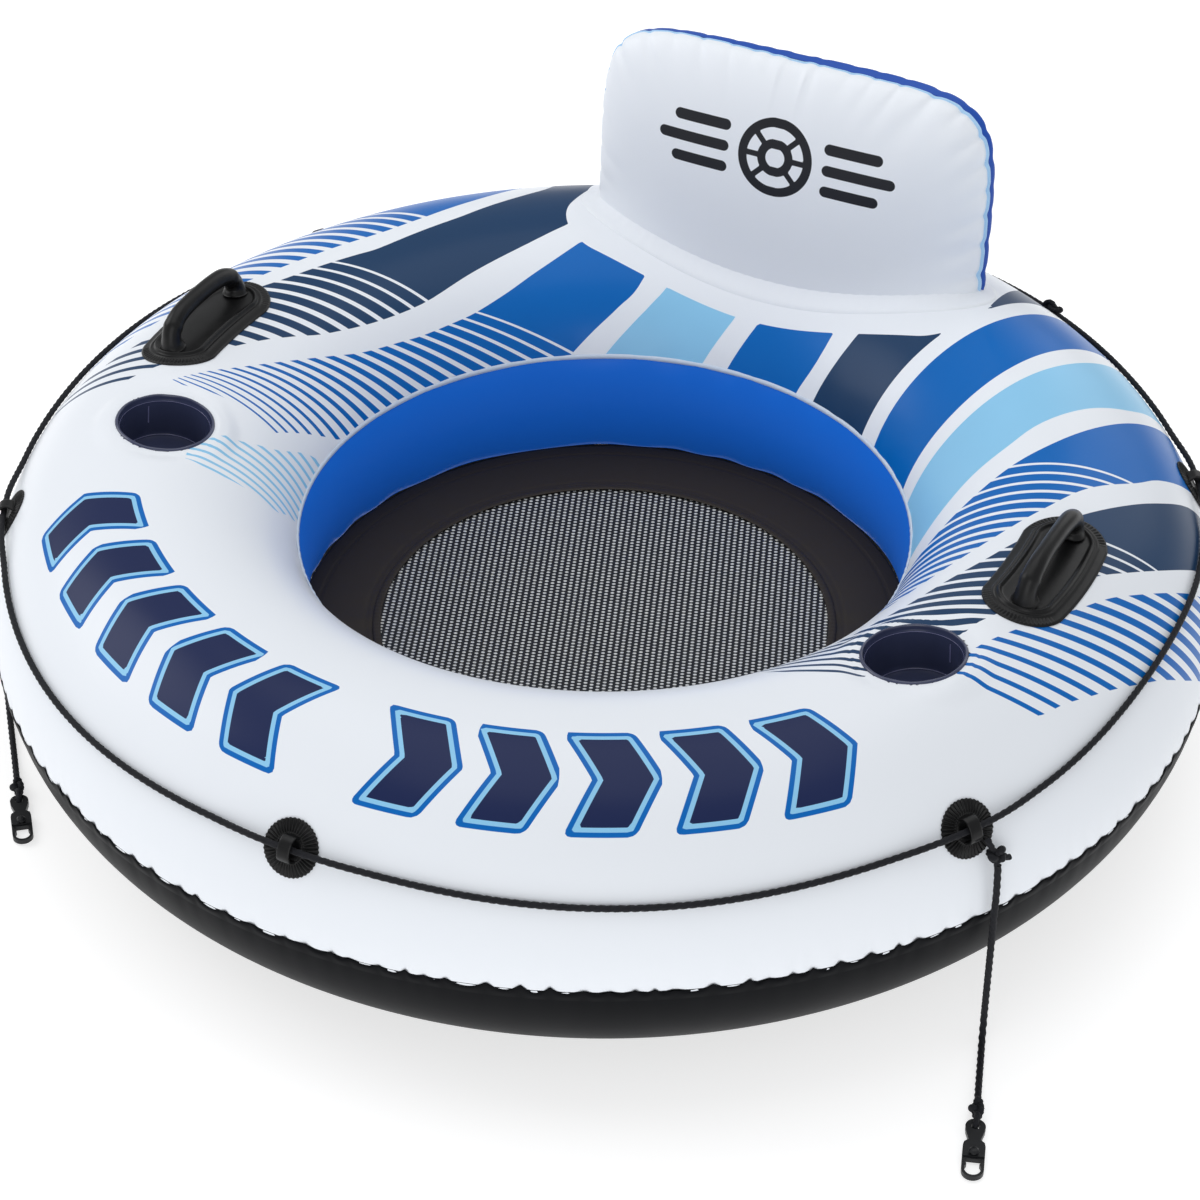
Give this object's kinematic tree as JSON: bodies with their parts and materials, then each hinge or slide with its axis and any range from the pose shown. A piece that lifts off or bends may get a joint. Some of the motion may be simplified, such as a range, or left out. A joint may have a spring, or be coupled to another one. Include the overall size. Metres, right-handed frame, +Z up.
{
  "type": "towable tube",
  "caption": "Inflatable ring for one rider with a mesh floor, backrest, cup holders, handles, a grab rope and tow cords with connectors.",
  "frame": {"origin": "the middle of the ring on the ground it rests on", "axes": "+Z up, +Y towards the backrest, +X towards the rider's left hand as the rider sits facing the front (-Y)"},
  "size_m": [1.3498, 1.3498, 0.5775],
  "materials": {
    "white_vinyl": "smooth satin-gloss vinyl, printed",
    "blue_vinyl": "smooth satin-gloss vinyl",
    "rear_blue_vinyl": "smooth satin-gloss vinyl",
    "black_vinyl": "satin vinyl",
    "mesh_fabric": "open vinyl-coated mesh",
    "navy_vinyl": "glossy moulded vinyl",
    "moulded_black": "moulded vinyl with fine ribs",
    "connector_black": "moulded nylon",
    "rope_black": "braided polypropylene",
    "clear_vinyl": "soft clear vinyl"
  },
  "bodies": {
    "root": {"top_panel": "white_vinyl", "inner_wall_panel": "blue_vinyl", "bottom_panel": "black_vinyl", "outer_weld_seam": "black_vinyl", "inner_weld_seam": "white_vinyl", "floor_weld_seam": "black_vinyl", "floor_border": "black_vinyl", "floor_mesh": "mesh_fabric", "floor_mesh_hem": "black_vinyl", "backrest_front_panel": "white_vinyl", "backrest_rear_panel": "rear_blue_vinyl", "backrest_weld_seam": "white_vinyl", "backrest_base_flange": "white_vinyl", "cup_holder_left": "navy_vinyl", "cup_holder_right": "navy_vinyl", "handle_base_left": "moulded_black", "handle_grip_left": "moulded_black", "handle_base_right": "moulded_black", "handle_grip_right": "moulded_black", "grab_rope": "rope_black", "grab_rope_knot": "rope_black", "main_valve_body": "clear_vinyl", "backrest_valve_body": "clear_vinyl", "rope_patch_1": "moulded_black", "rope_loop_1": "moulded_black", "rope_patch_2": "moulded_black", "rope_loop_2": "moulded_black", "rope_patch_3": "moulded_black", "rope_loop_3": "moulded_black", "rope_patch_4": "moulded_black", "rope_loop_4": "moulded_black", "rope_patch_5": "moulded_black", "rope_loop_5": "moulded_black", "rope_patch_6": "moulded_black", "rope_loop_6": "moulded_black", "tow_cord_left": "rope_black", "tow_knot_left": "rope_black", "connector_knot_left": "rope_black", "connector_eye_left": "connector_black", "tow_cord_right": "rope_black", "tow_knot_right": "rope_black", "connector_knot_right": "rope_black", "connector_eye_right": "connector_black"},
    "hook_left": {"connector_hook_left": "connector_black"},
    "hook_right": {"connector_hook_right": "connector_black"},
    "main_valve_plug": {"main_valve_plug": "clear_vinyl"},
    "main_valve_flap": {"main_valve_flap": "clear_vinyl"},
    "backrest_valve_plug": {"backrest_valve_plug": "clear_vinyl"}
  },
  "joints": [
    {"name": "hook_left_swivel", "type": "hinge", "parent": "root", "child": "hook_left", "pos_m": [-0.45253, -0.50247, 0.0049], "axis": [0.6394, -0.7689, 0], "continuous": true},
    {"name": "hook_right_swivel", "type": "hinge", "parent": "root", "child": "hook_right", "pos_m": [0.64881, -0.47341, 0.0049], "axis": [0.3284, -0.9445, 0], "continuous": true},
    {"name": "main_valve_plug_hinge", "type": "hinge", "parent": "root", "child": "main_valve_plug", "pos_m": [0.15714, 0.59607, 0.30402], "axis": [-0.2255, -0.7379, 0.6362], "range_deg": [0, 120]},
    {"name": "main_valve_flap_hinge", "type": "hinge", "parent": "root", "child": "main_valve_flap", "pos_m": [0.1876, 0.56913, 0.28357], "axis": [-0.2255, -0.7379, 0.6362], "range_deg": [0, 45], "stiffness_Nm_per_rad": 0.01},
    {"name": "backrest_valve_plug_hinge", "type": "hinge", "parent": "root", "child": "backrest_valve_plug", "pos_m": [0.018, 0.52743, 0.40062], "axis": [0, -0.0698, -0.9976], "range_deg": [0, 120]}
  ]
}
